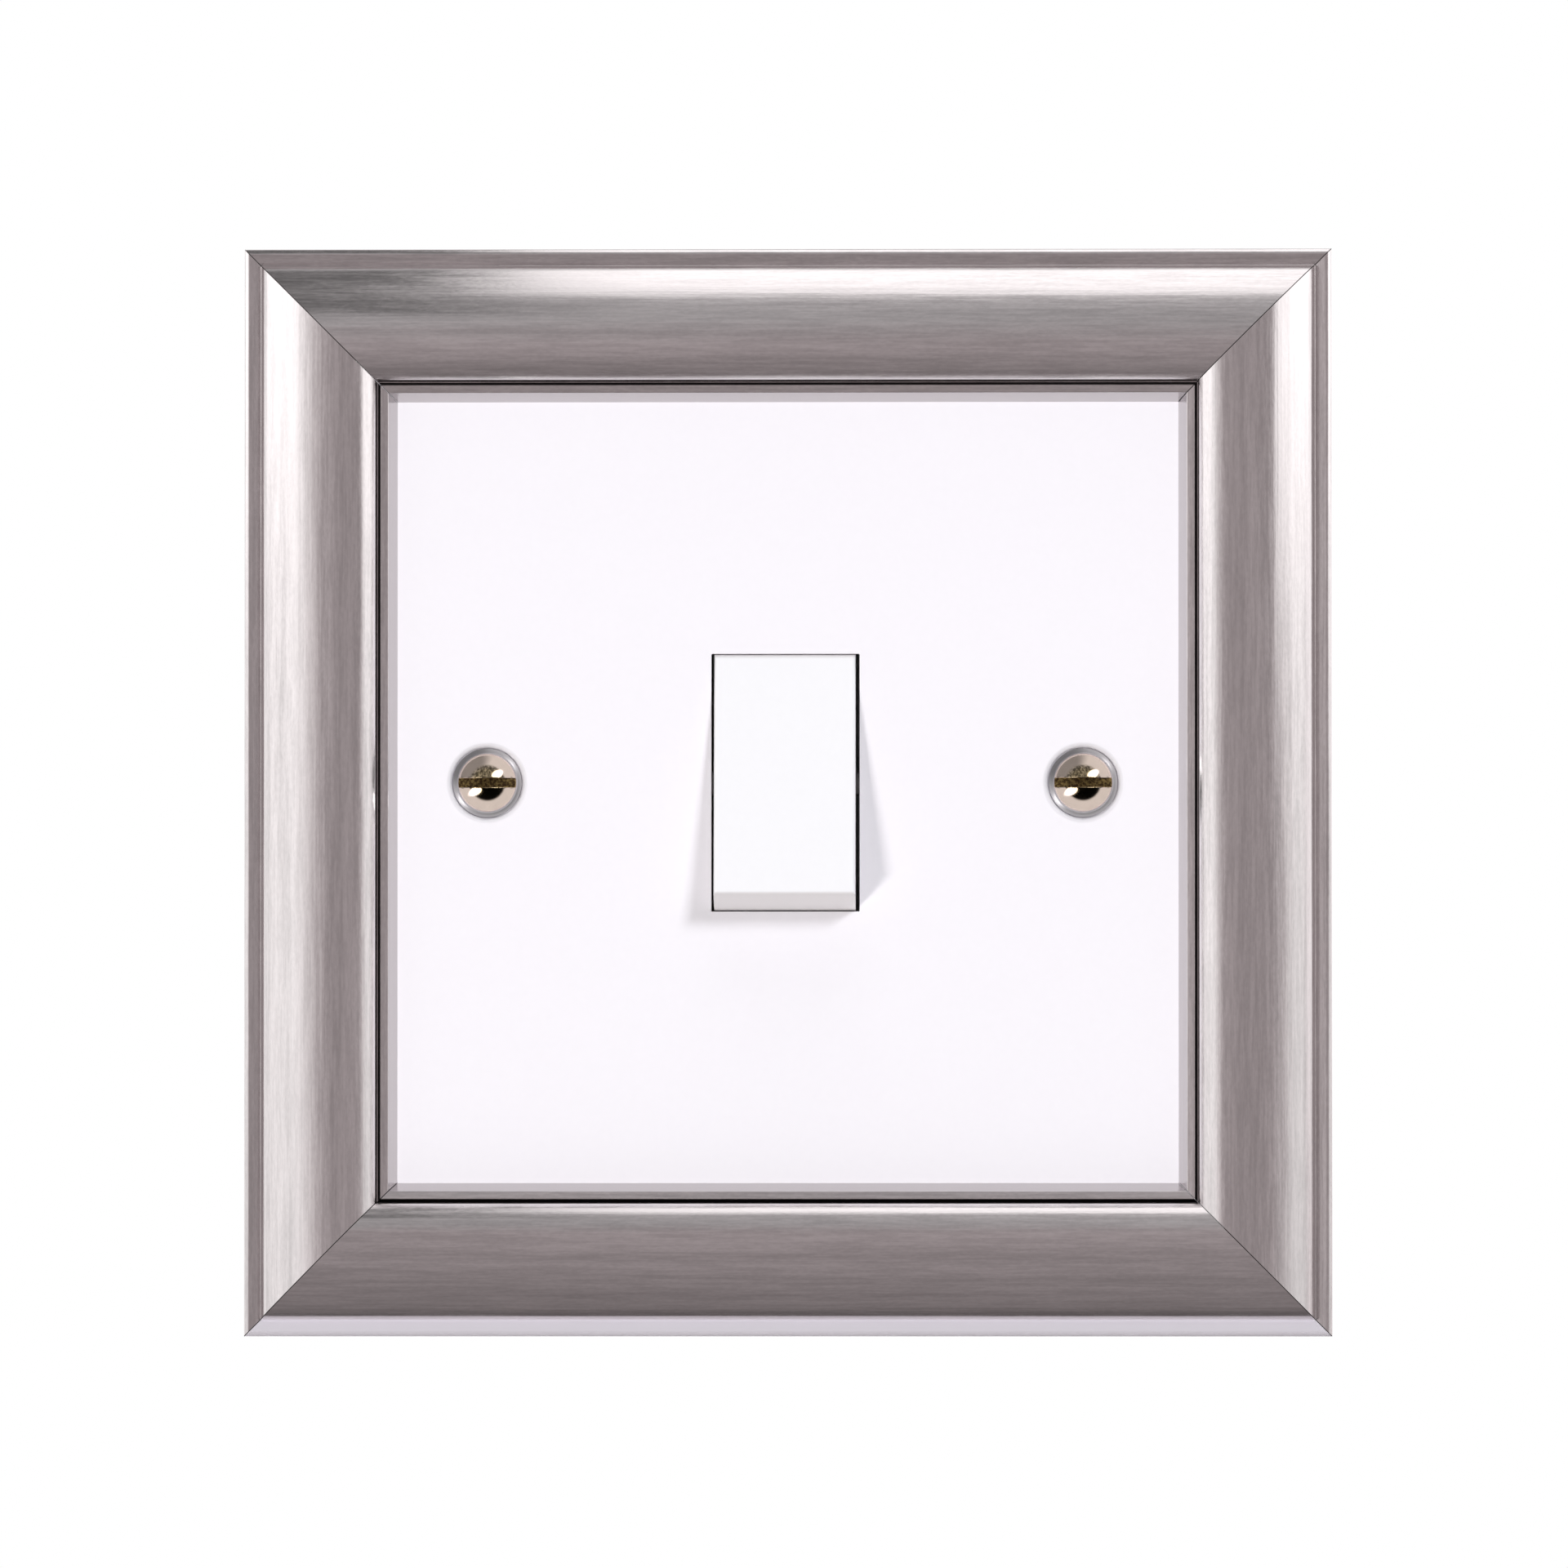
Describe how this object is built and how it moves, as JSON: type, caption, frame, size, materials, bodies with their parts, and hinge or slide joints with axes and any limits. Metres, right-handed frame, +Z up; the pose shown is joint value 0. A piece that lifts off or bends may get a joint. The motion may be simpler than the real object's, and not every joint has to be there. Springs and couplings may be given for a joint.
{
  "type": "rocker switch plate with surround",
  "caption": "Wall light switch: a white rocker in a square moulded plate, screwed on behind a mitred metal moulding surround, with its see-saw contact set and terminals behind.",
  "frame": {"origin": "midway between the two fixing screws, on the wall plane", "axes": "+X to the viewer's right, +Z up, -Y out of the front face towards the viewer"},
  "size_m": [0.11, 0.032, 0.11],
  "materials": {
    "rail_metal": "satin, brushed along each length",
    "foam": "closed-cell foam",
    "zinc_steel": "bright zinc plating",
    "nickel_screw": "nickel plated, warm",
    "plate_white": "moulded, fine satin",
    "rocker_white": "moulded, smooth",
    "module_moulding": "moulded, matt",
    "plunger_plastic": "natural nylon",
    "spring_steel": "drawn wire",
    "brass": "machined",
    "copper": "stamped sheet",
    "silver": "rivet, burnished"
  },
  "bodies": {
    "housing": {"corner_angle_bottom_left": "zinc_steel", "corner_angle_bottom_right": "zinc_steel", "corner_angle_top_left": "zinc_steel", "corner_angle_top_right": "zinc_steel", "corner_screws_bottom_left": "zinc_steel", "corner_screws_bottom_right": "zinc_steel", "corner_screws_top_left": "zinc_steel", "corner_screws_top_right": "zinc_steel", "corner_shim_bottom_left": "zinc_steel", "corner_shim_bottom_right": "zinc_steel", "corner_shim_top_left": "zinc_steel", "corner_shim_top_right": "zinc_steel", "fixed_tip_l1": "silver", "fixed_tip_l2": "silver", "fixing_screw_left": "nickel_screw", "fixing_screw_right": "nickel_screw", "foam_strip_bottom": "foam", "foam_strip_left": "foam", "foam_strip_right": "foam", "foam_strip_top": "foam", "frame_rail_bottom": "rail_metal", "frame_rail_left": "rail_metal", "frame_rail_right": "rail_metal", "frame_rail_top": "rail_metal", "module_screw_lower": "zinc_steel", "module_screw_upper": "zinc_steel", "rocker_carrier": "module_moulding", "strip_common": "brass", "strip_l1": "brass", "strip_l2": "brass", "switch_base": "module_moulding", "switch_plate": "plate_white", "terminal_common": "brass", "terminal_l1": "brass", "terminal_l2": "brass", "terminal_screw_common": "brass", "terminal_screw_l1": "brass", "terminal_screw_l2": "brass"},
    "rocker": {"rocker": "rocker_white", "plunger_spring": "spring_steel"},
    "plunger": {"plunger": "plunger_plastic"},
    "contact": {"moving_contact": "copper", "moving_tip_upper": "silver", "moving_tip_lower": "silver"}
  },
  "joints": [
    {"name": "rocker_tilt", "type": "hinge", "parent": "housing", "child": "rocker", "pos_m": [0, -0.0036, 0], "axis": [1, 0, 0], "range_deg": [0, 16.8]},
    {"name": "contact_tilt", "type": "hinge", "parent": "housing", "child": "contact", "pos_m": [0, 0.0075, 0], "axis": [1, 0, 0], "range_deg": [-19, 0]},
    {"name": "plunger_slide", "type": "slide", "parent": "rocker", "child": "plunger", "axis": [0, -0.9893, 0.1461], "range_m": [0, 0.001], "stiffness_N_per_m": 400, "deforming": ["plunger_spring"]}
  ],
  "couplings": [
    {"joint": "contact_tilt", "follows": "rocker_tilt", "ratio": -1.13}
  ]
}
